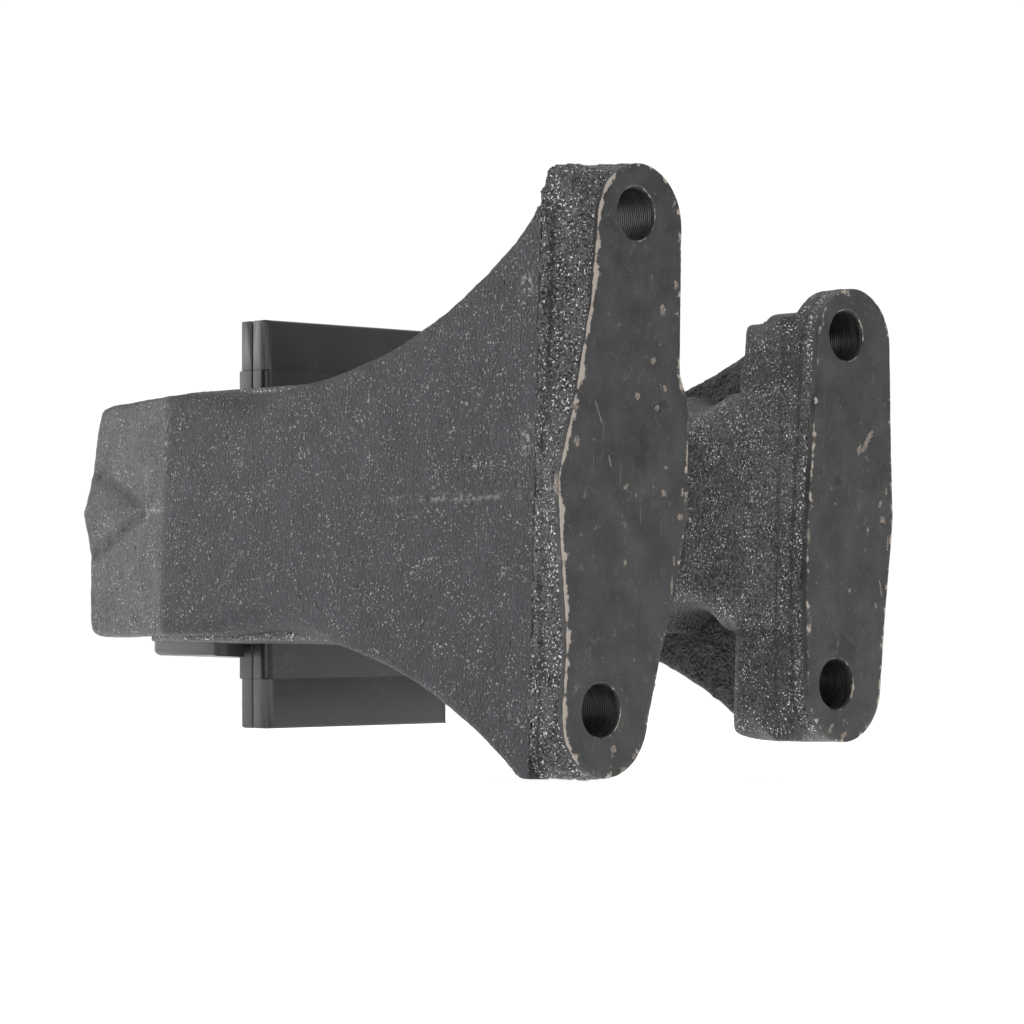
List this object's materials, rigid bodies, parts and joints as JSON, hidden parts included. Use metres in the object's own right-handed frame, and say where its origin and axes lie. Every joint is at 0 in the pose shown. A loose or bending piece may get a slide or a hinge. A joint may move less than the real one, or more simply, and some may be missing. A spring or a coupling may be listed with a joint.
{
  "type": "cast two-branch manifold bracket",
  "caption": "Cast iron fork of two flared branches with blank two-bolt flanges, joined at the back round a smooth plate-faced insert.",
  "frame": {"origin": "on the near flange's bolting face, at the casting's parting plane", "axes": "+X out of both bolting faces, +Y from the near branch to the far branch, +Z along the near flange towards its upper bolt hole"},
  "size_m": [0.171, 0.1042, 0.1269],
  "materials": {
    "cast_body": "rough sand-cast skin, dark coating with fine bright specks",
    "bolting_face": "smooth machined face under thin dark coating, scratched and chipped at the edges",
    "insert": "smooth moulded skin, satin, with fine parting seams"
  },
  "bodies": {
    "root": {"near_flange": "bolting_face", "far_flange": "bolting_face", "near_outer_wall": "cast_body", "far_outer_wall": "cast_body", "near_rib": "cast_body", "far_rib": "cast_body", "back_bridge": "cast_body", "insert_core": "insert", "upper_face_block": "insert", "upper_backing": "insert", "middle_face_block": "insert", "middle_backing": "insert", "lower_face_block": "insert", "lower_backing": "insert"}
  },
  "joints": []
}
